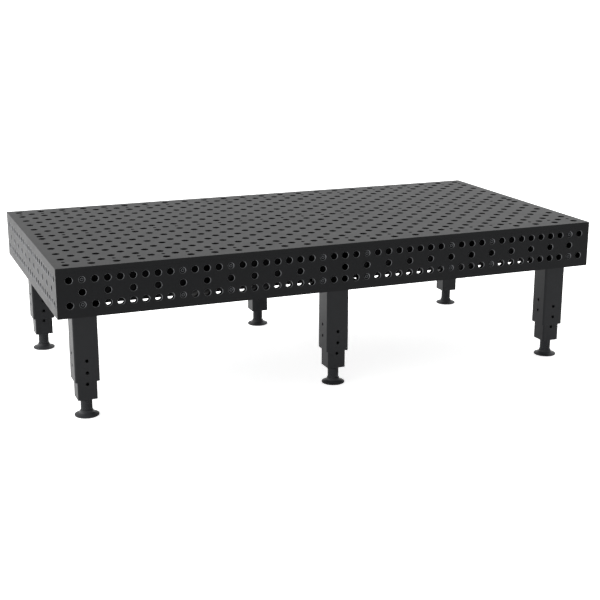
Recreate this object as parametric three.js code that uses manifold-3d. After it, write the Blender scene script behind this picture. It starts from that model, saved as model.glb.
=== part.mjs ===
// Modular welding table: a perforated steel top on bolted side panels, a welded rib frame under
// it, and six telescopic legs that each stand on a screw-adjusted foot.
// Millimetres, +Z up. The origin is on the floor, under the centre of the work surface.
// +X runs along the table, and -Y is its front.

import * as THREE from 'three';
import { mergeVertices } from 'three/addons/utils/BufferGeometryUtils.js';
import Module from 'manifold-3d';

// Overall sizes
const TABLE_LENGTH = 2400;
const TABLE_WIDTH = 1200;
const TABLE_HEIGHT = 642;        // floor to work surface, with the feet as they are set here
const SIDE_DEPTH = 200;          // work surface to the lower edge of the side panels

// Plates
const TOP_PLATE = 20;
const SIDE_PLATE = 20;
const RIB = 10;
const END_PLATE = 10;            // end plates of the beams, and the corner brackets
const MOUNT_PLATE = 12;
const SEAM = 0.3;                // between two pieces that are welded, bolted or seated together

// Hole system: 28 mm holes on a 100 mm grid, the outer row 50 mm from the edge
const CLAMP_HOLE = 28;
const GRID = 100;
const EDGE_MARGIN = 50;
const ROW_DEPTH = 50;            // first row of side holes, below the work surface
const HOLE_SIDES = 6;

// Frame below the top
const RIB_RECESS = 2;            // lower edge of the ribs, above the lower edge of the panels
const OUTER_RIB_INSET = 175;     // centre line of an outer rib, from the long edge
const BEAM_SPACING = 600;
const WINDOW_RIM = 32;           // top and bottom bars of an end plate's windows
const SCREW_BAR_EDGE = 22;       // metal on both sides of the holes in an end plate's screw bars
const BRACKET_END = 30;          // arm of a corner bracket, beyond the centre of its last hole
const HALVING_GAP = 0.5;         // clearance all round in a halving joint of two ribs

// Legs
const LEG_INSET = 118;           // leg axis from the table's ends and from its long edges
const SLEEVE = 100;
const SLEEVE_WALL = 8;
const SLIDE_GAP = 2;             // between the sleeve and the leg tube, on each side
const TUBE_WALL = 6;
const TUBE_DROP = 78;            // leg tube's lower end, below the sleeve's
const TUBE_HEADROOM = 7.7;       // leg tube's upper end, below the sleeve's
const LOCK_HOLE = 14;
const LOCK_PITCH = 50;
const FRONT_LOCK_RISE = 38;      // lowest front hole, above the sleeve's lower end
const SIDE_LOCK_RISE = 63;       // lowest side hole, half a pitch higher
const LOCK_ROWS = 2;             // holes in each face of the sleeve
const TUBE_LOCK_ROWS = 4;        // holes up the front and back of the leg tube
const MOUNT_REACH = 98;          // mounting plate's edge from the leg axis

// Clamp bolt, in the back of each sleeve
const BOLT_SHANK = 12;
const BOLT_HEAD_FLATS = 22;
const BOLT_HEAD = 9;

// Feet
const PAD_RADIUS = 50;
const PAD_RIM = 5;
const PAD_CONE_TOP = 11;
const HUB_FLARE = 4.5;           // how far the hub's foot stands out beyond its upper edge
const HUB_LIP = 2.5;             // hub's upper edge, outside the spindle
const HUB_TOP = 24;
const SOCKET_FLOOR = 8;
const SPINDLE_RADIUS = 24;
const THREAD_EXPOSED = 52;       // between the hub and the leg tube, as the feet are set here
const SPINDLE_SPARE = 38;        // end of the spindle, above its nut
const NOSE_RADIUS = 12;
const BALL_PLAY = 1;             // between the spindle's nose and its socket in the pad
const NUT_HEIGHT = 40;
const THREAD_PLAY = 0.5;
const PAD_SEGMENTS = 16;
const SPINDLE_SEGMENTS = 12;

// Heights that follow from those sizes
const panelTop = TABLE_HEIGHT - TOP_PLATE - SEAM;
const panelBottom = TABLE_HEIGHT - SIDE_DEPTH;
const ribBottom = panelBottom + RIB_RECESS;
const ribTop = panelTop;
const ribMiddle = (ribTop + ribBottom) / 2;
const mountTop = ribBottom + MOUNT_PLATE;
const endPlateBottom = mountTop + SEAM;
const sleeveTop = ribBottom - SEAM;
const tubeBottom = HUB_TOP + THREAD_EXPOSED;
const sleeveBottom = tubeBottom + TUBE_DROP;

// Rows of holes in the side panels. The middle row is the one that the panels carry here.
const upperRow = TABLE_HEIGHT - ROW_DEPTH;
const middleRow = TABLE_HEIGHT - 2 * ROW_DEPTH;
const lowerRow = TABLE_HEIGHT - 3 * ROW_DEPTH;

// Beams: the two ribs of a beam stand halfway between lines of holes, and its screws are one
// step of the grid from its centre line, as the corner screws are from the corner.
const webOffset = GRID / 4;
const screwReach = GRID;
const screwBar = CLAMP_HOLE + 2 * SCREW_BAR_EDGE;

// Leg tube, as wide as slides in the sleeve
const tubeWidth = SLEEVE - 2 * (SLEEVE_WALL + SLIDE_GAP);

// Inside faces of the side panels, and the lines that the legs stand on
const innerX = TABLE_LENGTH / 2 - SIDE_PLATE - SEAM;
const innerY = TABLE_WIDTH / 2 - SIDE_PLATE - SEAM;
const legX = TABLE_LENGTH / 2 - LEG_INSET;
const legY = TABLE_WIDTH / 2 - LEG_INSET;

const blackSteel = (shade, roughness) =>
  new THREE.MeshStandardMaterial({ color: shade, roughness, metalness: 0.6 });
const PLATE_FINISH = blackSteel(0x3a3b3d, 0.42);
const FRAME_FINISH = blackSteel(0x2f3032, 0.5);
const LEG_FINISH = blackSteel(0x333436, 0.45);
const THREAD_FINISH = blackSteel(0x3c3c3e, 0.4);

const wasm = await Module();
wasm.setup();

// A closed three.js geometry as a solid that can be cut and joined.
function solidOf(geometry) {
  geometry.deleteAttribute('normal');
  geometry.deleteAttribute('uv');
  const merged = mergeVertices(geometry, 1e-4);
  return new wasm.Manifold(new wasm.Mesh({
    numProp: 3,
    vertProperties: merged.attributes.position.array,
    triVerts: Uint32Array.from(merged.index.array),
  }));
}

// A solid as a three.js geometry.
function geometryOf(solid) {
  const { vertProperties, triVerts } = solid.getMesh();
  const geometry = new THREE.BufferGeometry();
  geometry.setAttribute('position', new THREE.BufferAttribute(vertProperties, 3));
  geometry.setIndex(new THREE.BufferAttribute(triVerts, 1));
  return geometry;
}

// A block between two opposite corners.
function block([x0, y0, z0], [x1, y1, z1]) {
  const box = new THREE.BoxGeometry(x1 - x0, y1 - y0, z1 - z0);
  return solidOf(box.translate((x0 + x1) / 2, (y0 + y1) / 2, (z0 + z1) / 2));
}

// A drill for a round hole: a prism drawn around the circle, so a full-size pin still passes.
function drill(axis, diameter, length, [x, y, z], sides = HOLE_SIDES) {
  const radius = diameter / 2 / Math.cos(Math.PI / sides);
  const prism = new THREE.CylinderGeometry(radius, radius, length, sides);
  if (axis === 'x') prism.rotateZ(Math.PI / 2);
  if (axis === 'z') prism.rotateX(Math.PI / 2);
  return solidOf(prism.translate(x, y, z));
}

// Every cutter is taken away from the solid at once.
const cut = (solid, cutters) =>
  cutters.length ? solid.subtract(wasm.Manifold.union(cutters)) : solid;

// Places of a line of holes along an edge, centred, with a whole margin at both ends.
function holePlaces(length, margin = EDGE_MARGIN) {
  const count = Math.floor((length - 2 * margin) / GRID) + 1;
  return Array.from({ length: count }, (_, i) => (i - (count - 1) / 2) * GRID);
}

// Places of the middle row of holes in a side panel.
const sidePlaces = (length) => holePlaces(length, 2 * EDGE_MARGIN);

// The nearest line that a beam can be centred on, so that its ribs miss every hole.
const beamLine = (place) => Math.round(place / (2 * webOffset)) * 2 * webOffset;
const beamCount = Math.max(1, 2 * Math.floor((TABLE_LENGTH / 2 - LEG_INSET) / BEAM_SPACING) + 1);
const beamLines = Array.from({ length: beamCount },
  (_, i) => beamLine((i - (beamCount - 1) / 2) * BEAM_SPACING));
const outerRibLine = beamLine(TABLE_WIDTH / 2 - OUTER_RIB_INSET - webOffset) + webOffset;
const ribLines = [-outerRibLine, -webOffset, webOffset, outerRibLine];

const legs = [];
for (const [row, side] of [['front', -1], ['rear', 1]]) {
  for (const [column, place] of [['left', -1], ['middle', 0], ['right', 1]]) {
    legs.push({ name: `${row}_${column}`, x: place * legX, y: side * legY, place, side });
  }
}

// Footprint of a leg's mounting plate. It is welded to the panels where it reaches them.
function mountFootprint({ x, y, place, side }) {
  const wide = place === 0
    ? [x - MOUNT_REACH, x + MOUNT_REACH]
    : [place * innerX, x - place * MOUNT_REACH].sort((a, b) => a - b);
  const deep = [side * innerY, y - side * MOUNT_REACH].sort((a, b) => a - b);
  return { low: [wide[0], deep[0]], high: [wide[1], deep[1]] };
}

// Room that the ribs leave for the mounting plates.
const mountRooms = legs.map((leg) => {
  const { low, high } = mountFootprint(leg);
  return block(
    [low[0] - SEAM, low[1] - SEAM, ribBottom - 1],
    [high[0] + SEAM, high[1] + SEAM, mountTop + SEAM]);
});

// Top plate, with the main grid of clamping holes.
function topPlate() {
  const underside = TABLE_HEIGHT - TOP_PLATE;
  const plate = block(
    [-TABLE_LENGTH / 2, -TABLE_WIDTH / 2, underside],
    [TABLE_LENGTH / 2, TABLE_WIDTH / 2, TABLE_HEIGHT]);
  const holes = [];
  for (const x of holePlaces(TABLE_LENGTH)) {
    for (const y of holePlaces(TABLE_WIDTH)) {
      holes.push(drill('z', CLAMP_HOLE, 3 * TOP_PLATE, [x, y, underside + TOP_PLATE / 2]));
    }
  }
  return cut(plate, holes);
}

// Long side panel, with the middle row of clamping holes. side is -1 at the front.
function longPanel(side) {
  const faces = [side * (TABLE_WIDTH / 2), side * (TABLE_WIDTH / 2 - SIDE_PLATE)].sort((a, b) => a - b);
  const panel = block([-TABLE_LENGTH / 2, faces[0], panelBottom], [TABLE_LENGTH / 2, faces[1], panelTop]);
  const holes = sidePlaces(TABLE_LENGTH).map((x) =>
    drill('y', CLAMP_HOLE, 3 * SIDE_PLATE, [x, (faces[0] + faces[1]) / 2, middleRow]));
  return cut(panel, holes);
}

// Short side panel, between the long ones. side is -1 at the left.
function endPanel(side) {
  const faces = [side * (TABLE_LENGTH / 2), side * (TABLE_LENGTH / 2 - SIDE_PLATE)].sort((a, b) => a - b);
  const panel = block([faces[0], -innerY, panelBottom], [faces[1], innerY, panelTop]);
  const holes = sidePlaces(TABLE_WIDTH).map((y) =>
    drill('x', CLAMP_HOLE, 3 * SIDE_PLATE, [(faces[0] + faces[1]) / 2, y, middleRow]));
  return cut(panel, holes);
}

// Windows of an end plate, on both sides of the ribs and between them, measured from its middle.
function endPlateWindows() {
  const ribEdge = webOffset + RIB / 2;
  const barEdge = screwReach - screwBar / 2;
  return [[-barEdge, -ribEdge], [RIB / 2 - webOffset, webOffset - RIB / 2], [ribEdge, barEdge]];
}

// End plate of a beam: a flat plate on the inside of a side panel. It stands square to X when
// across is 'y', and square to Y when across is 'x'. Its holes are those of the panel.
function endPlate(across, centre, near, far) {
  const reach = screwReach + screwBar / 2;
  const point = (u, v, z) => (across === 'x' ? [u, v, z] : [v, u, z]);
  const [low, high] = [Math.min(near, far), Math.max(near, far)];
  const plate = block(point(centre - reach, low, endPlateBottom), point(centre + reach, high, ribTop));
  const cutters = endPlateWindows().map(([from, to]) => block(
    point(centre + from, low - 1, endPlateBottom + WINDOW_RIM / 2),
    point(centre + to, high + 1, ribTop - WINDOW_RIM / 2)));
  const places = sidePlaces(across === 'x' ? TABLE_LENGTH : TABLE_WIDTH);
  for (const u of places.filter((place) => Math.abs(place - centre) < reach)) {
    const at = point(u, (low + high) / 2, middleRow);
    cutters.push(drill(across === 'x' ? 'y' : 'x', CLAMP_HOLE, 3 * END_PLATE, at));
  }
  return cut(plate, cutters);
}

// Cross beam: two ribs and an end plate at each end, welded into one piece. The ribs are
// notched from below, half way up, for the long ribs.
function crossBeam(x) {
  const webEnd = innerY - END_PLATE;
  const pieces = [
    endPlate('x', x, -innerY, -webEnd),
    endPlate('x', x, webEnd, innerY),
  ];
  for (const offset of [-webOffset, webOffset]) {
    const [left, right] = [x + offset - RIB / 2, x + offset + RIB / 2];
    pieces.push(block([left, -webEnd - 1, endPlateBottom], [right, webEnd + 1, ribTop]));
    pieces.push(block([left, -webEnd, ribBottom], [right, webEnd, endPlateBottom + 1]));
  }
  const half = RIB / 2 + HALVING_GAP;
  const notches = ribLines.map((y) => block(
    [x - screwReach, y - half, ribBottom - 1],
    [x + screwReach, y + half, ribMiddle + HALVING_GAP]));
  return cut(wasm.Manifold.union(pieces), [...notches, ...mountRooms]);
}

// Long rib, notched from above for the cross beams and from below for the mounting plates.
function longRib(y) {
  const end = Math.abs(y) > webOffset ? innerX : innerX - END_PLATE - SEAM;
  const rib = block([-end, y - RIB / 2, ribBottom], [end, y + RIB / 2, ribTop]);
  const half = RIB / 2 + HALVING_GAP;
  const notches = beamLines.flatMap((x) => [-webOffset, webOffset].map((offset) => block(
    [x + offset - half, y - RIB, ribMiddle - HALVING_GAP],
    [x + offset + half, y + RIB, ribTop + 1])));
  return cut(rib, [...notches, ...mountRooms]);
}

// Corner bracket: an angle inside a corner, which the screws of both side panels pull against.
// Its holes are those of the panels, in the upper and lower rows and in the middle row.
function cornerBracket(sideX, sideY) {
  const fromCorner = (length) => length / 2 - SIDE_PLATE - SEAM;
  const armHoles = (length) => [
    [fromCorner(length) - Math.max(...holePlaces(length)), [upperRow, lowerRow]],
    [fromCorner(length) - Math.max(...sidePlaces(length)), [middleRow]],
  ];
  // The bracket is drawn in the front left corner, and a quarter turn swaps its two arms.
  const [lengthU, lengthV] = sideX === sideY ? [TABLE_LENGTH, TABLE_WIDTH] : [TABLE_WIDTH, TABLE_LENGTH];
  const [armU, armV] = [lengthU, lengthV].map((length) =>
    fromCorner(length) - Math.max(...sidePlaces(length)) + BRACKET_END);
  const outline = new THREE.Shape([
    [0, 0], [armU, 0], [armU, END_PLATE], [END_PLATE, END_PLATE], [END_PLATE, armV], [0, armV],
  ].map(([u, v]) => new THREE.Vector2(u, v)));
  const angle = new THREE.ExtrudeGeometry(outline, { depth: ribTop - endPlateBottom, bevelEnabled: false });
  const drillArm = (length, axis, point) => armHoles(length).flatMap(([place, rows]) =>
    rows.map((z) => drill(axis, CLAMP_HOLE, 3 * END_PLATE, point(place, z - endPlateBottom))));
  const cutters = [
    ...drillArm(lengthU, 'y', (u, z) => [u, END_PLATE / 2, z]),
    ...drillArm(lengthV, 'x', (v, z) => [END_PLATE / 2, v, z]),
  ];
  const bracket = cut(solidOf(angle), cutters);
  const turns = { '-1,-1': 0, '1,-1': 90, '1,1': 180, '-1,1': 270 };
  return bracket.rotate([0, 0, turns[`${sideX},${sideY}`]])
    .translate([sideX * innerX, sideY * innerY, endPlateBottom]);
}

// Square tube standing on z0, with drilled rows of locking holes.
function squareTube(width, wall, length, rows) {
  const outer = width / 2;
  const inner = outer - wall;
  const tube = cut(block([-outer, -outer, 0], [outer, outer, length]),
    [block([-inner, -inner, -1], [inner, inner, length + 1])]);
  return cut(tube, rows.flatMap(({ axis, rise, count }) =>
    Array.from({ length: count }, (_, i) =>
      drill(axis, LOCK_HOLE, 2 * width, [0, 0, rise + i * LOCK_PITCH]))));
}

const legSleeve = () => squareTube(SLEEVE, SLEEVE_WALL, sleeveTop - sleeveBottom, [
  { axis: 'y', rise: FRONT_LOCK_RISE, count: LOCK_ROWS },
  { axis: 'x', rise: SIDE_LOCK_RISE, count: LOCK_ROWS },
]);

// The leg tube's holes line up with the sleeve's, so they carry the same rise and pitch.
const legTube = () => squareTube(tubeWidth, TUBE_WALL, sleeveTop - TUBE_HEADROOM - tubeBottom, [
  { axis: 'y', rise: TUBE_DROP + FRONT_LOCK_RISE - LOCK_PITCH, count: TUBE_LOCK_ROWS },
]);

// Clamp bolt, its tip just clear of the leg tube and its head outside the sleeve.
function clampBolt() {
  const tip = tubeWidth / 2 + SEAM;
  const face = SLEEVE / 2 + SEAM;
  const shankFlats = BOLT_SHANK * Math.cos(Math.PI / HOLE_SIDES);
  const shank = drill('y', shankFlats, face - tip + 1, [0, (face + tip + 1) / 2, 0]);
  const head = drill('y', BOLT_HEAD_FLATS, BOLT_HEAD, [0, face + BOLT_HEAD / 2, 0]);
  return shank.add(head);
}

// Nut block welded into the lower end of a leg tube.
function footNut() {
  const half = tubeWidth / 2 - TUBE_WALL - SEAM;
  const bore = 2 * (SPINDLE_RADIUS + THREAD_PLAY);
  return cut(block([-half, -half, 0], [half, half, NUT_HEIGHT]),
    [drill('z', bore, 3 * NUT_HEIGHT, [0, 0, 0], SPINDLE_SEGMENTS)]);
}

const turned = (profile, segments) => new THREE.LatheGeometry(
  profile.map(([radius, z]) => new THREE.Vector2(radius, z)), segments).rotateX(Math.PI / 2);

// Foot pad: a round disc that rises to a hub with a socket for the spindle's nose.
function footPad() {
  const hub = SPINDLE_RADIUS + HUB_LIP;
  const socket = NOSE_RADIUS + BALL_PLAY;
  return turned([
    [0, 0], [PAD_RADIUS, 0], [PAD_RADIUS, PAD_RIM], [hub + HUB_FLARE, PAD_CONE_TOP], [hub, HUB_TOP],
    [socket, HUB_TOP], [socket, SOCKET_FLOOR], [0, SOCKET_FLOOR],
  ], PAD_SEGMENTS);
}

// Threaded spindle, drawn at the thread's outer diameter.
function footSpindle() {
  const shoulder = HUB_TOP + SEAM;
  const end = shoulder + THREAD_EXPOSED + NUT_HEIGHT + SPINDLE_SPARE;
  return turned([
    [0, SOCKET_FLOOR + BALL_PLAY], [NOSE_RADIUS, SOCKET_FLOOR + BALL_PLAY], [NOSE_RADIUS, shoulder],
    [SPINDLE_RADIUS, shoulder], [SPINDLE_RADIUS, end], [0, end],
  ], SPINDLE_SEGMENTS);
}

const table = new THREE.Group();

function place(parent, name, shape, finish, position = [0, 0, 0]) {
  const mesh = new THREE.Mesh(shape.isBufferGeometry ? shape : geometryOf(shape), finish);
  mesh.name = name;
  mesh.position.set(...position);
  parent.add(mesh);
}

place(table, 'top_plate', topPlate(), PLATE_FINISH);
place(table, 'front_panel', longPanel(-1), PLATE_FINISH);
place(table, 'rear_panel', longPanel(1), PLATE_FINISH);
place(table, 'left_panel', endPanel(-1), PLATE_FINISH);
place(table, 'right_panel', endPanel(1), PLATE_FINISH);

beamLines.forEach((x, i) => place(table, `cross_beam_${i + 1}`, crossBeam(x), FRAME_FINISH));
ribLines.forEach((y, i) => place(table, `long_rib_${i + 1}`, longRib(y), FRAME_FINISH));
place(table, 'spine_end_plate_left', endPlate('y', 0, -innerX, END_PLATE - innerX), FRAME_FINISH);
place(table, 'spine_end_plate_right', endPlate('y', 0, innerX - END_PLATE, innerX), FRAME_FINISH);
for (const [row, sideY] of [['front', -1], ['rear', 1]]) {
  for (const [column, sideX] of [['left', -1], ['right', 1]]) {
    place(table, `corner_bracket_${row}_${column}`, cornerBracket(sideX, sideY), FRAME_FINISH);
  }
}

for (const leg of legs) {
  const { low, high } = mountFootprint(leg);
  place(table, `leg_mount_plate_${leg.name}`, block([...low, ribBottom], [...high, mountTop]), FRAME_FINISH);
  const stand = new THREE.Group();
  stand.position.set(leg.x, leg.y, 0);
  table.add(stand);
  place(stand, `leg_sleeve_${leg.name}`, legSleeve(), LEG_FINISH, [0, 0, sleeveBottom]);
  place(stand, `leg_clamp_bolt_${leg.name}`, clampBolt(), THREAD_FINISH,
    [0, 0, sleeveBottom + FRONT_LOCK_RISE + LOCK_PITCH]);
  place(stand, `leg_tube_${leg.name}`, legTube(), LEG_FINISH, [0, 0, tubeBottom]);
  place(stand, `foot_nut_${leg.name}`, footNut(), THREAD_FINISH, [0, 0, tubeBottom]);
  place(stand, `foot_spindle_${leg.name}`, footSpindle(), THREAD_FINISH);
  place(stand, `foot_pad_${leg.name}`, footPad(), THREAD_FINISH);
}

export default table;
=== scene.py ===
# A modular welding table on six telescopic legs, assembled piece by piece: the perforated work
# top and its screwed sides first, then the frame below them, the legs, and the feet.
import math

import bpy
from mathutils import Matrix, Vector


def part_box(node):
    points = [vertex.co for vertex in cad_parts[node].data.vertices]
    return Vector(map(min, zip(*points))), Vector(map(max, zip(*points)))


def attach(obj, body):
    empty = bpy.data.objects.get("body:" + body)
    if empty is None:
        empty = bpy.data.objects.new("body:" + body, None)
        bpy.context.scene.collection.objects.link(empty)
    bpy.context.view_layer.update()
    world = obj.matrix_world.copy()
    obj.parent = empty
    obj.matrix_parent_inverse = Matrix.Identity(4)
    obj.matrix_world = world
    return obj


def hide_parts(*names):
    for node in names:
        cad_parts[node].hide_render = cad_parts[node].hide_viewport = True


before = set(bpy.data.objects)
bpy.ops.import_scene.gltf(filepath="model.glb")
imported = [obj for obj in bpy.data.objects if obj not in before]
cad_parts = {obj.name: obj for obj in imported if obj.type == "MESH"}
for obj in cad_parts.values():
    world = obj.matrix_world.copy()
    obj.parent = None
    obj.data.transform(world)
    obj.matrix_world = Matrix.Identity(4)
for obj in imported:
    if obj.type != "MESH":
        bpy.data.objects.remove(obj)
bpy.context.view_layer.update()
MM = 0.001

# Camera and studio: a long lens at the front left, a white floor, and a white room whose light
# comes mostly from the left, from behind and from above.
# The lens, place and turn give the three-quarter view that such tables are shown in.
bpy.ops.object.camera_add(location=(-1.963, -4.979, 1.722))
camera = bpy.context.object
camera.data.sensor_width = 36.0
camera.data.lens = 71.22
camera.rotation_euler = (math.radians(74.581), math.radians(-0.066), math.radians(-21.881))
bpy.context.scene.camera = camera
bpy.context.scene.view_settings.view_transform = "Standard"


def linear(colour):
    """An sRGB hex colour as the linear values that a shader takes."""
    values = [int(colour[i:i + 2], 16) / 255 for i in (1, 3, 5)]
    return (*[v / 12.92 if v <= 0.04045 else ((v + 0.055) / 1.055) ** 2.4 for v in values], 1.0)


def add_node(material, kind, settings=None, **inputs):
    """Adds one node to a material. An input takes a value, or an output socket to link from."""
    tree = material.node_tree
    new = tree.nodes.new(kind)
    for key, value in (settings or {}).items():
        setattr(new, key, value)
    for key, value in inputs.items():
        numbered = key[0] == "i" and key[1:].isdigit()
        socket = new.inputs[int(key[1:]) if numbered else key.replace("_", " ")]
        if isinstance(value, bpy.types.NodeSocket):
            tree.links.new(value, socket)
        else:
            socket.default_value = value
    return new


def new_material(name):
    material = bpy.data.materials.new(name)
    material.use_nodes = True
    material.node_tree.nodes.clear()
    return material


# Matt white paint, lit a little from within, so that the eye gets a floor without a horizon.
white_floor = new_material("white_studio_floor")
floor_shade = add_node(white_floor, "ShaderNodeBsdfPrincipled",
                       Base_Color=linear("#f4f4f4"), Roughness=0.9)
floor_glow = add_node(white_floor, "ShaderNodeEmission", Color=linear("#ffffff"), Strength=0.72)
floor_sum = add_node(white_floor, "ShaderNodeAddShader",
                     i0=floor_shade.outputs[0], i1=floor_glow.outputs[0])
add_node(white_floor, "ShaderNodeOutputMaterial", Surface=floor_sum.outputs[0])

bpy.ops.mesh.primitive_plane_add(size=400.0, location=(0, 0, 0))
floor = bpy.context.object
floor.name = "studio_floor"
floor.data.materials.append(white_floor)

# The room is bright behind the table and to its left, and nearly dark behind the camera.
room = bpy.data.worlds.new("white_room")
bpy.context.scene.world = room
room.use_nodes = True
room.node_tree.nodes.clear()
toward = add_node(room, "ShaderNodeTexCoord")
split = add_node(room, "ShaderNodeSeparateXYZ", Vector=toward.outputs["Generated"])
behind = add_node(room, "ShaderNodeMapRange", {"interpolation_type": "SMOOTHSTEP"},
                  Value=split.outputs["Y"], From_Min=-0.6, From_Max=0.5, To_Min=0.03, To_Max=1.1)
from_left = add_node(room, "ShaderNodeMapRange", {"interpolation_type": "SMOOTHSTEP"},
                     Value=split.outputs["X"], From_Min=-0.8, From_Max=0.2, To_Min=0.9, To_Max=0.0)
from_right = add_node(room, "ShaderNodeMapRange",
                      Value=split.outputs["X"], From_Min=0.0, From_Max=0.7, To_Min=0.0, To_Max=0.3)
sides = add_node(room, "ShaderNodeMath", {"operation": "ADD"},
                 i0=from_left.outputs[0], i1=from_right.outputs[0])
whole = add_node(room, "ShaderNodeMath", {"operation": "ADD"},
                 i0=behind.outputs[0], i1=sides.outputs[0])
glow = add_node(room, "ShaderNodeBackground", Color=linear("#ffffff"), Strength=whole.outputs[0])
add_node(room, "ShaderNodeOutputWorld", Surface=glow.outputs[0])

for name, place, turn, size, power in [
    ("left_softbox", (-4.5, 0.5, 2.2), (0, -70, 0), (4.0, 3.0), 105),
    ("overhead_softbox", (0.5, 1.0, 4.0), (0, 0, 0), (5.0, 3.0), 120),
]:
    bpy.ops.object.light_add(type="AREA", location=place)
    softbox = bpy.context.object
    softbox.name = name
    softbox.data.shape = "RECTANGLE"
    softbox.data.size = size[0]
    softbox.data.size_y = size[1]
    softbox.data.energy = power
    softbox.rotation_euler = [math.radians(angle) for angle in turn]

# Top plate: 20 mm steel plate, drilled and chamfered on a 50 mm lattice, with the main and the
# diagonal grid of 28 mm holes, and lines of small holes down the middle and along both long
# edges. It lies on the panels and ribs, and is welded to them.
CELL = 50.0
TOUCH = 0.01 * MM
HOLE_STEPS = 24
CLAMP_RADIUS, CLAMP_CHAMFER = 14.0, 2.0
SMALL_RADIUS, SMALL_CHAMFER = 7.5, 0.8
top_low, top_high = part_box("top_plate")
table_length, table_width, PLATE = [(top_high - top_low)[axis] / MM for axis in (0, 1, 2)]
top_columns, top_rows = round(table_length / CELL) - 1, round(table_width / CELL) - 1


def blackened_steel(name, dark, light, rough, shine, grain_mm, cloud_mm):
    """Steel under a thin black skin, cloudy, with the fine lines of the tool that cut it."""
    steel = new_material(name)
    place = add_node(steel, "ShaderNodeTexCoord")
    lengthwise = add_node(steel, "ShaderNodeMapping", Vector=place.outputs["Object"],
                          Scale=(0.02, 1.0, 1.0))
    grain = add_node(steel, "ShaderNodeTexNoise", Vector=lengthwise.outputs[0],
                     Scale=1 / (grain_mm * MM), Detail=2.0)
    cloud = add_node(steel, "ShaderNodeTexNoise", Vector=place.outputs["Object"],
                     Scale=1 / (cloud_mm * MM), Detail=3.0, Roughness=0.6)
    shade = add_node(steel, "ShaderNodeMix", {"data_type": "RGBA"}, i0=cloud.outputs["Fac"],
                     i6=linear(dark), i7=linear(light))
    finish = add_node(steel, "ShaderNodeMapRange", Value=cloud.outputs["Fac"],
                      To_Min=rough - 0.04, To_Max=rough + 0.05)
    relief = add_node(steel, "ShaderNodeBump", Height=grain.outputs["Fac"],
                      Distance=0.02 * MM, Strength=0.35)
    skin = add_node(steel, "ShaderNodeBsdfPrincipled", Base_Color=shade.outputs[2],
                    Roughness=finish.outputs[0], Normal=relief.outputs[0])
    skin.inputs["Specular IOR Level"].default_value = shine
    add_node(steel, "ShaderNodeOutputMaterial", Surface=skin.outputs[0])
    return steel


# Plate ground flat, then nitrided and blackened. The eye gets an even, near-black satin skin,
# slightly cloudy. The grinding lines are drawn 2 mm apart, coarser than real ones, so they show.
top_steel = blackened_steel("nitrided_plate_ground", "#0a0b0c", "#101113", 0.42, 0.11, 2.0, 90.0)

# Plate as it was cut, under the same skin: the bores, the backs of the plates and the frame. The eye
# gets a dull black. Its colour is made darker than the top's as painted shade, so that the holes and the
# frame under the top look deep in shadow.
frame_steel = blackened_steel("nitrided_plate_as_cut_painted_shade", "#060607", "#0b0b0c", 0.55, 0.05, 3.0, 60.0)


def select_nothing():
    if bpy.context.object and bpy.context.object.mode != "OBJECT":
        bpy.ops.object.mode_set(mode="OBJECT")
    bpy.ops.object.select_all(action="DESELECT")


def pick(kind, piece, test):
    """In edit mode, selects just the vertices, edges or faces whose element passes the test."""
    bpy.ops.object.mode_set(mode="EDIT")
    bpy.ops.mesh.select_mode(type=kind)
    bpy.ops.mesh.select_all(action="DESELECT")
    bpy.ops.object.mode_set(mode="OBJECT")
    mesh = piece.data
    for element in {"VERT": mesh.vertices, "EDGE": mesh.edges, "FACE": mesh.polygons}[kind]:
        element.select = bool(test(mesh, element))
    bpy.ops.object.mode_set(mode="EDIT")


def apply_modifiers(piece):
    select_nothing()
    bpy.context.view_layer.objects.active = piece
    piece.select_set(True)
    for modifier in list(piece.modifiers):
        bpy.ops.object.modifier_apply(modifier=modifier.name)


def combine(piece, other, operation="DIFFERENCE"):
    """Cuts the other solid out of the piece, or keeps what they share, and removes the other."""
    boolean = piece.modifiers.new("cut", "BOOLEAN")
    boolean.operation = operation
    boolean.solver = "EXACT"
    boolean.object = other
    apply_modifiers(piece)
    bpy.data.objects.remove(other)


def hole_cutter(radius, flare, flare_depth):
    """A round cutter that goes through the plate, and is widest at its outer face."""
    bpy.ops.mesh.primitive_cylinder_add(vertices=HOLE_STEPS, radius=radius * MM,
                                        depth=2 * PLATE * MM, location=(0, 0, -1.5 * PLATE * MM))
    cutter = bpy.context.object
    pick("FACE", cutter, lambda mesh, face: face.normal.z > 0.9)
    bpy.ops.mesh.extrude_region_move(
        TRANSFORM_OT_translate={"value": (0, 0, (PLATE / 2 - flare_depth) * MM)})
    bpy.ops.mesh.extrude_region_move(TRANSFORM_OT_translate={"value": (0, 0, flare_depth * MM)})
    wide = (radius + flare) / radius
    bpy.ops.transform.resize(value=(wide, wide, 1))
    bpy.ops.mesh.extrude_region_move(TRANSFORM_OT_translate={"value": (0, 0, PLATE * MM)})
    bpy.ops.object.mode_set(mode="OBJECT")
    return cutter


def cell(name, cutter=None, edge=top_steel):
    """One square of the plate, its outer face at z = 0, without its four cut sides. The chamfer of its
    hole is of the edge's material, and the bore and the inner face are as cut, in the darker black that
    paints shade into the hole and behind the plate."""
    select_nothing()
    bpy.ops.mesh.primitive_cube_add(size=1.0, location=(0, 0, -PLATE / 2 * MM))
    square = bpy.context.object
    square.name = name
    square.scale = (CELL * MM, CELL * MM, PLATE * MM)
    bpy.ops.object.transform_apply(location=True, rotation=True, scale=True)
    if cutter:
        combine(square, cutter)
    side = CELL / 2 * MM - TOUCH
    pick("FACE", square, lambda mesh, face: max(abs(face.center.x), abs(face.center.y)) > side)
    bpy.ops.mesh.delete(type="FACE")
    for index, (material, low, high) in enumerate([
        (top_steel, 0.95, 1.1), (edge, 0.3, 0.95), (frame_steel, -1.1, 0.3),
    ]):
        square.data.materials.append(material)
        pick("FACE", square, lambda mesh, face: low <= face.normal.z < high)
        square.active_material_index = index
        bpy.ops.object.material_slot_assign()
    bpy.ops.object.mode_set(mode="OBJECT")
    return square


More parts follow.
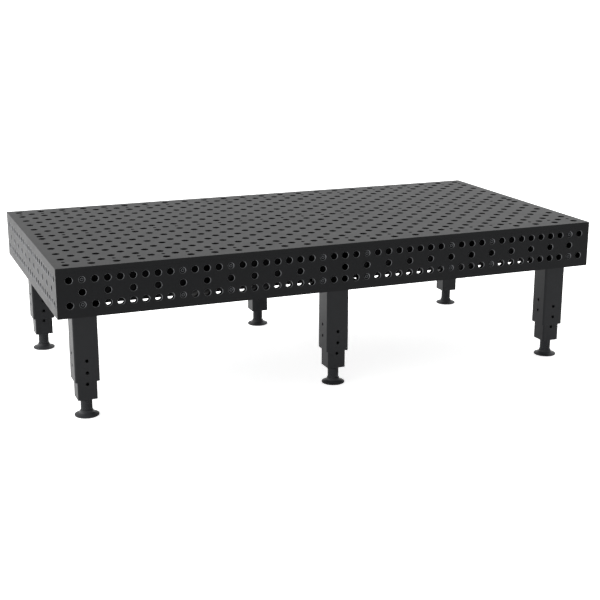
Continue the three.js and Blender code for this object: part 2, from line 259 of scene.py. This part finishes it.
def copy_of(pattern, name):
    """A copy with its own mesh, in the same place."""
    copy = bpy.data.objects.new(name, pattern.data.copy())
    copy.matrix_world = pattern.matrix_world.copy()
    bpy.context.collection.objects.link(copy)
    return copy


def join(pieces, name):
    select_nothing()
    for piece in pieces:
        piece.select_set(True)
    bpy.context.view_layer.objects.active = pieces[0]
    if len(pieces) > 1:
        bpy.ops.object.join()
    joined = bpy.context.object
    joined.name = joined.data.name = name
    return joined


def spread_on_lattice(pattern_at, columns, rows, name):
    """Joins copies of the pattern that pattern_at(column, row) gives at each place of the lattice,
    counted from 1. Where it gives none, the place stays empty."""
    copies = []
    for column in range(1, columns + 1):
        for row in range(1, rows + 1):
            pattern = pattern_at(column, row)
            if pattern:
                copy = copy_of(pattern, name)
                copy.location = ((column - (columns + 1) / 2) * CELL * MM,
                                 (row - (rows + 1) / 2) * CELL * MM, 0)
                copies.append(copy)
    spread = join(copies, name)
    bpy.ops.object.transform_apply(location=True, rotation=True, scale=True)
    return spread


def perforated_sheet(name, columns, rows, cell_at, length, low, high):
    """A sheet of cells, flat, with its outer face up. It runs over the whole length, and from low
    to high across it, measured from the middle row."""
    sheet = spread_on_lattice(cell_at, columns, rows, name)
    bpy.ops.object.mode_set(mode="EDIT")
    bpy.ops.mesh.select_all(action="SELECT")
    bpy.ops.mesh.remove_doubles(threshold=TOUCH)
    half_x, half_y = columns * CELL / 2 * MM, rows * CELL / 2 * MM

    def on_border(mesh, edge):
        a, b = (mesh.vertices[i].co for i in edge.vertices)
        along = abs(abs(a.x) - half_x) < TOUCH and abs(a.x - b.x) < TOUCH
        across = abs(abs(a.y) - half_y) < TOUCH and abs(a.y - b.y) < TOUCH
        return along or across

    pick("EDGE", sheet, on_border)
    bpy.ops.mesh.extrude_edges_move()
    stretch = (high - low) * MM / (2 * half_y)
    middle = 0.0 if abs(high + low) < 1e-6 else (high + low) / 2 * MM / (1 - stretch)
    bpy.ops.transform.resize(value=(length * MM / (2 * half_x), stretch, 1),
                             center_override=(0, middle, 0))
    bpy.ops.mesh.bridge_edge_loops()
    bpy.ops.mesh.select_all(action="SELECT")
    bpy.ops.mesh.normals_make_consistent(inside=False)
    pick("FACE", sheet, lambda mesh, face: abs(face.center.x) > length / 2 * MM - TOUCH
         or not low * MM + TOUCH < face.center.y < high * MM - TOUCH)
    sheet.active_material_index = 0
    bpy.ops.object.material_slot_assign()
    bpy.ops.object.mode_set(mode="OBJECT")
    return sheet


def settle(piece):
    """Puts the piece's place into its mesh. Round faces are shaded smooth, flat ones stay flat."""
    select_nothing()
    bpy.context.view_layer.objects.active = piece
    piece.select_set(True)
    bpy.ops.object.transform_apply(location=True, rotation=True, scale=True)
    bpy.ops.object.shade_smooth_by_angle(angle=math.radians(30))
    weighted = piece.modifiers.new("normals", "WEIGHTED_NORMAL")
    weighted.keep_sharp = True
    bpy.ops.object.modifier_apply(modifier=weighted.name)


def finish_piece(piece, material, body, slot, *nodes):
    """Gives a finished piece its material if it has none, hangs it on the body it rides, and hides the
    nodes that it stands for.
    """
    if not piece.data.materials:
        piece.data.materials.append(material)
    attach(piece, body)
    if nodes:
        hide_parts(*nodes)


plain_cell = cell("plain_cell")
# The chamfers of the top's holes also take the as-cut black, whose darkness is painted shade that keeps
# the holes dark.
clamp_cell = cell("clamp_cell", hole_cutter(CLAMP_RADIUS, CLAMP_CHAMFER, CLAMP_CHAMFER), frame_steel)
small_cell = cell("small_cell", hole_cutter(SMALL_RADIUS, SMALL_CHAMFER, SMALL_CHAMFER), frame_steel)


def top_cell(column, row):
    if (column + row) % 2 == 0:
        return clamp_cell
    middle = row == (top_rows + 1) // 2
    if column % 2 and middle and column in (1, top_columns):
        return clamp_cell
    return small_cell if column % 2 and (middle or row in (2, top_rows - 1)) else plain_cell


top = perforated_sheet("work_top", top_columns, top_rows, top_cell,
                       table_length, -table_width / 2, table_width / 2)
top.location = (0, 0, top_high.z)
settle(top)
finish_piece(top, top_steel, "table", "work_surface_steel", "top_plate")

# Side panels: the same plate on edge, with three rows of holes, of which the middle one has half
# as many. Above and below it, some holes give way to countersinks for flush screws, which go into
# the ends of the cross beams and of the middle ribs, and into the corner brackets.
ROWS_DOWN = 100.0
ROWS = 3
MIDDLE_ROW = 2
SCREW_REACH = 100.0
BEAM_STEP = 600.0
SIDE_CHAMFER = 1.6
SEAT_RADIUS, SEAT_FLARE, SEAT_DEPTH = 11.2, 2.8, 2.4
rows_z = top_high.z - ROWS_DOWN * MM
SIDES = {
    "front": (0, (0, top_low.y, rows_z)),
    "rear": (180, (0, top_high.y, rows_z)),
    "left": (-90, (top_low.x, 0, rows_z)),
    "right": (90, (top_high.x, 0, rows_z)),
}


def worn_edge(name, dark, light, rough, wear_mm):
    """Bare steel that shows where a tool or a hand has worn the thin black skin away."""
    edge = new_material(name)
    place = add_node(edge, "ShaderNodeTexCoord")
    wear = add_node(edge, "ShaderNodeTexNoise", Vector=place.outputs["Object"],
                    Scale=1 / (wear_mm * MM), Detail=2.0)
    shade = add_node(edge, "ShaderNodeMix", {"data_type": "RGBA"}, i0=wear.outputs["Fac"],
                     i6=linear(dark), i7=linear(light))
    skin = add_node(edge, "ShaderNodeBsdfPrincipled", Base_Color=shade.outputs[2], Roughness=rough)
    skin.inputs["Metallic"].default_value = 1.0
    add_node(edge, "ShaderNodeOutputMaterial", Surface=skin.outputs[0])
    return edge


# Chamfers of the side holes and of the screw seats, worn to the metal. The eye gets a thin bright
# crescent on the side of each hole that is turned to the light.
rim_steel = worn_edge("chamfered_hole_edge", "#5c5d5f", "#707173", 0.38, 12.0)
seat_steel = worn_edge("countersunk_screw_seat", "#535456", "#616264", 0.4, 12.0)
side_cell = cell("side_cell", hole_cutter(CLAMP_RADIUS, SIDE_CHAMFER, SIDE_CHAMFER), rim_steel)
screw_cell = cell("screw_cell", hole_cutter(SEAT_RADIUS, SEAT_FLARE, SEAT_DEPTH), seat_steel)


def side_size(side):
    """A panel's length in millimetres, and how many columns of the lattice it has room for."""
    low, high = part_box(f"{side}_panel")
    length = max((high - low).x, (high - low).y) / MM
    return length, 2 * int((length / 2 - CELL / 2) / CELL) + 1


def has_screw(column, row, columns):
    place = abs(column - (columns + 1) // 2) * CELL
    end = (columns + 1) * CELL / 2
    off_beam = abs(place - round(place / BEAM_STEP) * BEAM_STEP)
    at_beam = off_beam == SCREW_REACH and place < end - SCREW_REACH
    return row != MIDDLE_ROW and (at_beam or end - place == SCREW_REACH)


def stand_up(piece, turn, place):
    """Turns a flat piece so that its outer face looks to the front, and then round the table."""
    piece.matrix_world = (Matrix.Translation(place) @ Matrix.Rotation(math.radians(turn), 4, "Z")
                          @ Matrix.Rotation(math.radians(90), 4, "X"))
    settle(piece)


for side, (turn, place) in SIDES.items():
    low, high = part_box(f"{side}_panel")
    length, columns = side_size(side)

    def side_cell_at(column, row):
        if row == MIDDLE_ROW:
            return plain_cell if column % 2 else side_cell
        return screw_cell if has_screw(column, row, columns) else side_cell

    panel = perforated_sheet(f"{side}_side", columns, ROWS, side_cell_at, length,
                             (low.z - rows_z) / MM, (high.z - rows_z) / MM)
    stand_up(panel, turn, place)
    finish_piece(panel, top_steel, "table", "work_surface_steel", f"{side}_panel")
for pattern in (plain_cell, clamp_cell, small_cell, side_cell, screw_cell):
    bpy.data.objects.remove(pattern)

# Socket screws that hold the side panels to the frame: steel under black oxide, with a washer
# each. A screw's head stands below the panel's face, in the countersink, and its shank goes
# right through the panel. Its profile is given as (radius, depth below the face).
SCREW_PROFILE = [(0, 34.0), (5.2, 34.0), (6.0, 33.0), (6.0, 14.0), (11.0, 14.0), (11.0, 11.0),
                 (7.6, 11.0), (7.6, 3.6), (7.0, 2.8), (0, 2.8)]
HEAD_DEPTH = SCREW_PROFILE[-1][1]
SOCKET_FLATS, SOCKET_DEPTH = 8.0, 5.0
WORN_DEPTH = 4.0

# Machined steel under black oxide: the eye gets a smooth black, and a lighter one on the head,
# which the key has worn.
screw_steel = blackened_steel("black_oxide_machined", "#17181a", "#202123", 0.36, 0.11, 0.8, 25.0)
head_steel = worn_edge("black_oxide_screw_head", "#38393b", "#454648", 0.35, 6.0)


def outline(name, points):
    """A line of edges through points given as (radius, height) in millimetres."""
    select_nothing()
    bpy.ops.mesh.primitive_plane_add(size=1 * MM, location=(0, 0, 0))
    line = bpy.context.object
    line.name = name
    bpy.ops.object.mode_set(mode="EDIT")
    bpy.ops.mesh.select_mode(type="VERT")
    bpy.ops.mesh.select_all(action="SELECT")
    bpy.ops.mesh.merge(type="CENTER")
    bpy.ops.mesh.select_all(action="SELECT")
    bpy.ops.transform.translate(value=(points[0][0] * MM, 0, points[0][1] * MM))
    for (r0, z0), (r1, z1) in zip(points, points[1:]):
        step = ((r1 - r0) * MM, 0, (z1 - z0) * MM)
        bpy.ops.mesh.extrude_vertices_move(TRANSFORM_OT_translate={"value": step})
    bpy.ops.object.mode_set(mode="OBJECT")
    return line


def turn_on_lathe(name, points, steps=64):
    """A closed solid turned from a profile that starts and ends on the axis."""
    piece = outline(name, points)
    bpy.ops.object.mode_set(mode="EDIT")
    bpy.ops.mesh.select_all(action="SELECT")
    bpy.ops.mesh.spin(steps=steps, angle=2 * math.pi, center=(0, 0, 0), axis=(0, 0, 1))
    bpy.ops.mesh.select_all(action="SELECT")
    bpy.ops.mesh.remove_doubles(threshold=0.001 * MM)
    bpy.ops.mesh.normals_make_consistent(inside=False)
    bpy.ops.object.mode_set(mode="OBJECT")
    return piece


def hexagon_bar(flats, length, height):
    """Six-sided bar, given by the distance between its flats, centred at the height."""
    bpy.ops.mesh.primitive_cylinder_add(vertices=6, radius=flats / 2 / math.cos(math.pi / 6) * MM,
                                        depth=length * MM, location=(0, 0, height * MM))
    return bpy.context.object


screw = turn_on_lathe("socket_screw", [(radius, -depth) for radius, depth in SCREW_PROFILE],
                      HOLE_STEPS)
combine(screw, hexagon_bar(SOCKET_FLATS, 2 * SOCKET_DEPTH, -HEAD_DEPTH))
screw.data.materials.append(screw_steel)
screw.data.materials.append(head_steel)
pick("FACE", screw, lambda mesh, face: face.normal.z > 0.3 and face.center.z > -WORN_DEPTH * MM)
screw.active_material_index = 1
bpy.ops.object.material_slot_assign()
bpy.ops.object.mode_set(mode="OBJECT")
for side, (turn, place) in SIDES.items():
    columns = side_size(side)[1]
    screws = spread_on_lattice(lambda column, row: screw if has_screw(column, row, columns) else None,
                               columns, ROWS, f"{side}_side_screws")
    stand_up(screws, turn, place)
    finish_piece(screws, screw_steel, "table", "fastener_steel")
bpy.data.objects.remove(screw)

# Frame below the top: cross beams, long ribs, end plates, corner brackets and mounting plates, all cut
# from plate and welded. They keep the solids of the design, and take the as-cut black, whose extra
# darkness is painted shade under the top.
for name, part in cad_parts.items():
    if name.startswith(("cross_beam", "long_rib", "spine_end", "corner_bracket", "leg_mount")):
        part.data.materials.clear()
        part.data.materials.append(frame_steel)

# Outer tubes of the legs: drawn square steel tube with round corners, welded under the frame,
# with rows of drilled holes on all four sides for the locking bolts, and powder coated black.
# Hole heights are above the tube's lower end.
LEG_NAMES = [f"{row}_{column}" for row in ("front", "rear")
             for column in ("left", "middle", "right")]
OUTER_WALL, OUTER_CORNER = 8.0, 9.0
LOCK_RADIUS = 7.0
TUBE_EDGE = 0.7
FRONT_LOCKS, SIDE_LOCKS = (38.0, 88.0), (63.0, 113.0)
COAT_RIPPLE, COAT_CLOUD = 1.5, 70.0

# Powder coat over steel: the eye gets a soft black, with the faint ripple the coat sets with.
leg_coat = new_material("black_powder_coat")
coat_place = add_node(leg_coat, "ShaderNodeTexCoord")
coat_ripple = add_node(leg_coat, "ShaderNodeTexNoise", Vector=coat_place.outputs["Object"],
                       Scale=1 / (COAT_RIPPLE * MM), Detail=1.0)
coat_cloud = add_node(leg_coat, "ShaderNodeTexNoise", Vector=coat_place.outputs["Object"],
                      Scale=1 / (COAT_CLOUD * MM), Detail=4.0)
coat_shade = add_node(leg_coat, "ShaderNodeMix", {"data_type": "RGBA"},
                      i0=coat_cloud.outputs["Fac"], i6=linear("#17181a"), i7=linear("#1b1c1e"))
coat_finish = add_node(leg_coat, "ShaderNodeMapRange", Value=coat_cloud.outputs["Fac"],
                       To_Min=0.39, To_Max=0.42)
coat_relief = add_node(leg_coat, "ShaderNodeBump", Height=coat_ripple.outputs["Fac"],
                       Distance=0.05 * MM, Strength=0.4)
coat_skin = add_node(leg_coat, "ShaderNodeBsdfPrincipled", Base_Color=coat_shade.outputs[2],
                     Roughness=coat_finish.outputs[0], Normal=coat_relief.outputs[0])
coat_skin.inputs["Specular IOR Level"].default_value = 0.14
add_node(leg_coat, "ShaderNodeOutputMaterial", Surface=coat_skin.outputs[0])


def block_in_box_of(node, name):
    """A block that fills the box of a CAD node."""
    low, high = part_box(node)
    select_nothing()
    bpy.ops.mesh.primitive_cube_add(size=1.0, location=(low + high) / 2)
    block = bpy.context.object
    block.name = name
    block.scale = high - low
    bpy.ops.object.transform_apply(location=False, rotation=False, scale=True)
    return block


def break_edges(piece, width):
    """Rounds off the sharp edges of a piece a little."""
    edges = piece.modifiers.new("edges", "BEVEL")
    edges.width = width * MM
    edges.segments = 2
    edges.limit_method = "ANGLE"
    edges.angle_limit = math.radians(50)
    apply_modifiers(piece)


def square_tube(name, node, wall, corner, locks):
    """A square tube in the box of its CAD node, with lock holes as (axis, height above its end)."""
    tube = block_in_box_of(node, name)
    low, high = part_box(node)
    upright = (high.z - low.z) * 0.99
    pick("EDGE", tube, lambda mesh, edge: abs(
        mesh.vertices[edge.vertices[0]].co.z - mesh.vertices[edge.vertices[1]].co.z) > upright)
    bpy.ops.mesh.bevel(offset=corner * MM, segments=6)
    pick("FACE", tube, lambda mesh, face: abs(face.normal.z) > 0.9)
    bpy.ops.mesh.delete(type="FACE")
    bpy.ops.object.mode_set(mode="OBJECT")
    shell = tube.modifiers.new("wall", "SOLIDIFY")
    shell.thickness = wall * MM
    shell.offset = -1.0
    shell.use_even_offset = True
    apply_modifiers(tube)
    middle = (low + high) / 2
    for axis, height in locks:
        bpy.ops.mesh.primitive_cylinder_add(
            vertices=HOLE_STEPS, radius=LOCK_RADIUS * MM, depth=3 * (high.x - low.x),
            location=(middle.x, middle.y, low.z + height * MM),
            rotation=(math.radians(90), 0, 0) if axis == "y" else (0, math.radians(90), 0))
        combine(tube, bpy.context.object)
    break_edges(tube, TUBE_EDGE)
    return tube


def give_to_all_legs(pattern, name, node, body, material, slot, replaces=True):
    """Copies a piece that was modelled on the front left leg to every leg."""
    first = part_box(f"{node}_{LEG_NAMES[0]}")[0]
    for leg in LEG_NAMES:
        copy = copy_of(pattern, f"{name}_{leg}")
        copy.location = pattern.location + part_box(f"{node}_{leg}")[0] - first
        settle(copy)
        finish_piece(copy, material, body if body == "table" else f"{body}_{leg}", slot,
                     *([f"{node}_{leg}"] if replaces else []))
    bpy.data.objects.remove(pattern)


outer = square_tube("leg_sleeve", "leg_sleeve_front_left", OUTER_WALL, OUTER_CORNER,
                    [("y", height) for height in FRONT_LOCKS] + [("x", height) for height in SIDE_LOCKS])
give_to_all_legs(outer, "outer_tube", "leg_sleeve", "table", leg_coat, "leg_steel")

# Weld at the top of each outer tube: one fillet bead all round, which joins the tube to its
# mounting plate. It is under the same powder coat. Its ripples are drawn coarse enough to show.
WELD_LEG, WELD_THROAT, WELD_RIPPLE = 5.0, 3.6, 3.0
WELD_BELLY = 2.2
WELD_OVERLAP, WELD_GAP = 0.2, 0.1
WELD_SWELL = 1.008
low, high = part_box("leg_sleeve_front_left")
half = (high.x - low.x) / 2 / MM - WELD_OVERLAP
select_nothing()
bpy.ops.mesh.primitive_plane_add(size=2 * half * MM, location=(0, 0, 0))
weld = bpy.context.object
weld.name = "leg_weld"
bpy.ops.object.mode_set(mode="EDIT")
bpy.ops.mesh.select_all(action="SELECT")
bpy.ops.mesh.bevel(offset=OUTER_CORNER * MM, segments=4, affect="VERTICES")
bpy.ops.mesh.delete(type="ONLY_FACE")
pick("EDGE", weld, lambda mesh, edge: (mesh.vertices[edge.vertices[0]].co
                                       - mesh.vertices[edge.vertices[1]].co).length > half * MM)
bpy.ops.mesh.subdivide(number_cuts=round(2 * (half - OUTER_CORNER) / WELD_RIPPLE) - 1)
bpy.ops.mesh.select_all(action="SELECT")
ring = half
for reach, drop in [(half + WELD_LEG, 0.0), (half + WELD_THROAT, WELD_BELLY),
                    (half, WELD_LEG - WELD_BELLY)]:
    bpy.ops.mesh.extrude_edges_move(TRANSFORM_OT_translate={"value": (0, 0, -drop * MM)})
    bpy.ops.transform.resize(value=(reach / ring, reach / ring, 1), center_override=(0, 0, 0))
    ring = reach
bpy.ops.mesh.select_all(action="DESELECT")
bpy.ops.mesh.select_mode(type="EDGE")
bpy.ops.mesh.select_non_manifold()
bpy.ops.mesh.bridge_edge_loops()
bpy.ops.mesh.select_all(action="SELECT")
bpy.ops.mesh.normals_make_consistent(inside=False)
pick("VERT", weld, lambda mesh, vertex: vertex.co.z < -MM and sum(
    math.floor(abs(vertex.co[i]) / (WELD_RIPPLE * MM)) for i in (0, 1)) % 2)
bpy.ops.transform.resize(value=(WELD_SWELL, WELD_SWELL, 1), center_override=(0, 0, 0))
bpy.ops.object.mode_set(mode="OBJECT")
weld.location = ((low.x + high.x) / 2, (low.y + high.y) / 2,
                 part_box("leg_mount_plate_front_left")[0].z - WELD_GAP * MM)
give_to_all_legs(weld, "leg_weld", "leg_sleeve", "table", leg_coat, "frame_steel", replaces=False)

# Inner tubes: square tube that slides in the outer one with 2 mm of room on each side. Steel
# under the same powder coat, with one row of holes up its front and back for the locking bolts.
INNER_WALL, INNER_CORNER = 6.0, 6.5
INNER_LOCKS = (66.0, 116.0, 166.0, 216.0)
inner = square_tube("leg_tube", "leg_tube_front_left", INNER_WALL, INNER_CORNER,
                    [("y", height) for height in INNER_LOCKS])
give_to_all_legs(inner, "inner_tube", "leg_tube", "leg", leg_coat, "leg_steel")

# Clamp bolt: a hexagon bolt in the back of each outer tube, screwed against the inner tube to
# take up its play. Black oxide steel; the head's corners are turned off.
# The head's profile is given as (radius, height above its seat).
BOLT_RADIUS, BOLT_POINT, BOLT_OVERLAP = 6.0, 1.0, 0.5
HEAD_FLATS, HEAD_HEIGHT = 22.0, 9.0
HEAD_PROFILE = [(0, 0), (10.6, 0), (13.2, 0.9), (13.2, 7.4), (10.4, HEAD_HEIGHT), (0, HEAD_HEIGHT)]
low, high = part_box("leg_clamp_bolt_front_left")
shank_length = (high.y - low.y) / MM - HEAD_HEIGHT
bolt_head = turn_on_lathe("clamp_bolt", HEAD_PROFILE)
combine(bolt_head, hexagon_bar(HEAD_FLATS, 3 * HEAD_HEIGHT, 0), "INTERSECT")
bolt_shank = turn_on_lathe("clamp_bolt_shank", [
    (0, -shank_length), (BOLT_RADIUS - BOLT_POINT, -shank_length),
    (BOLT_RADIUS, BOLT_POINT - shank_length), (BOLT_RADIUS, BOLT_OVERLAP), (0, BOLT_OVERLAP)])
clamp_bolt = join([bolt_head, bolt_shank], "clamp_bolt")
clamp_bolt.rotation_euler = (math.radians(-90), 0, 0)
clamp_bolt.location = ((low.x + high.x) / 2, high.y - HEAD_HEIGHT * MM, (low.z + high.z) / 2)
bpy.context.view_layer.update()
give_to_all_legs(clamp_bolt, "clamp_bolt", "leg_clamp_bolt", "table", screw_steel, "fastener_steel")

# Foot nut: a bored and tapped block of black oxide steel, welded into the lower end of each inner
# tube, so that it moves with the tube. The foot's spindle screws through it.
NUT_BORE_RADIUS = 24.3
NUT_EDGE = 0.8
foot_nut = block_in_box_of("foot_nut_front_left", "foot_nut")
low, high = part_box("foot_nut_front_left")
bpy.ops.mesh.primitive_cylinder_add(vertices=48, radius=NUT_BORE_RADIUS * MM,
                                    depth=3 * (high.z - low.z), location=(low + high) / 2)
combine(foot_nut, bpy.context.object)
break_edges(foot_nut, NUT_EDGE)
give_to_all_legs(foot_nut, "tapped_block", "foot_nut", "leg", screw_steel, "fastener_steel")

# Foot spindle: a steel screw of 48 mm, turned from bar, with a right-hand thread of 5 mm pitch.
# It screws through the nut block, and its smooth nose turns in the socket of the pad.
PITCH = 5.0
CREST, ROOT = 23.9, 21.2
NOSE_RADIUS, NOSE_END = 11.9, 9.2
THREAD_RIDGE = [(ROOT - 0.6, 0), (CREST, 1.4), (CREST, 2.3), (ROOT - 0.6, 3.7)]
low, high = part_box("foot_spindle_front_left")
axis_point = Vector(((low.x + high.x) / 2, (low.y + high.y) / 2, 0))
spindle_top = high.z / MM
hub_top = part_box("foot_pad_front_left")[1].z / MM
shoulder = hub_top + 0.3
thread_start = hub_top + 1.0
thread_end = spindle_top - THREAD_RIDGE[-1][1]

# Turned and phosphated steel: the eye gets a dark grey, lighter than the plate.
foot_metal = blackened_steel("phosphated_turned_steel", "#303133", "#3a3b3d", 0.4, 0.11, 0.8, 25.0)

core = turn_on_lathe("spindle_core", [
    (0, NOSE_END), (9, NOSE_END), (NOSE_RADIUS, 12.0), (NOSE_RADIUS, shoulder), (ROOT, shoulder),
    (ROOT, spindle_top), (0, spindle_top)])
thread = outline("spindle_thread", THREAD_RIDGE)
bpy.ops.object.mode_set(mode="EDIT")
bpy.ops.mesh.select_all(action="SELECT")
bpy.ops.mesh.edge_face_add()
bpy.ops.mesh.delete(type="ONLY_FACE")
bpy.ops.object.mode_set(mode="OBJECT")
winding = thread.modifiers.new("thread", "SCREW")
winding.axis = "Z"
winding.screw_offset = PITCH * MM
winding.iterations = int((thread_end - thread_start) / PITCH)
winding.steps = winding.render_steps = 32
apply_modifiers(thread)
thread.location.z = thread_start * MM
bpy.ops.object.transform_apply(location=True, rotation=False, scale=False)
# The helix is open at its two ends, and each end is closed with a face.
half_height = (thread_start + spindle_top) / 2 * MM
for upper in (False, True):
    uses = [0] * len(thread.data.edges)
    for loop in thread.data.loops:
        uses[loop.edge_index] += 1
    pick("EDGE", thread, lambda mesh, edge: uses[edge.index] == 1
         and (mesh.vertices[edge.vertices[0]].co.z > half_height) == upper)
    bpy.ops.mesh.edge_face_add()
bpy.ops.mesh.select_all(action="SELECT")
bpy.ops.mesh.normals_make_consistent(inside=False)
spindle = join([thread, core], "foot_spindle")
spindle.location = axis_point
give_to_all_legs(spindle, "screw_spindle", "foot_spindle", "spindle", foot_metal, "fastener_steel")

# Foot pad: a turned and phosphated steel disc with a conical top and a hub. Its socket holds the
# spindle's nose, and its flat underside stands on the floor.
# Its profile is given as (radius, height above the floor), up the outside and down the socket.
PAD_PROFILE = [
    (0, 0), (48.8, 0), (49.9, 1.0), (49.9, 3.9), (49.0, 5.0), (47.0, 5.7), (33.5, 10.0),
    (30.5, 11.6), (28.6, 14.0), (26.6, 22.6), (25.4, hub_top), (14.2, hub_top),
    (13.0, hub_top - 1.2), (13.0, 8.0), (0, 8.0),
]
pad = turn_on_lathe("foot_pad", PAD_PROFILE)
pad.location = axis_point
give_to_all_legs(pad, "round_foot", "foot_pad", "pad", foot_metal, "foot_steel")
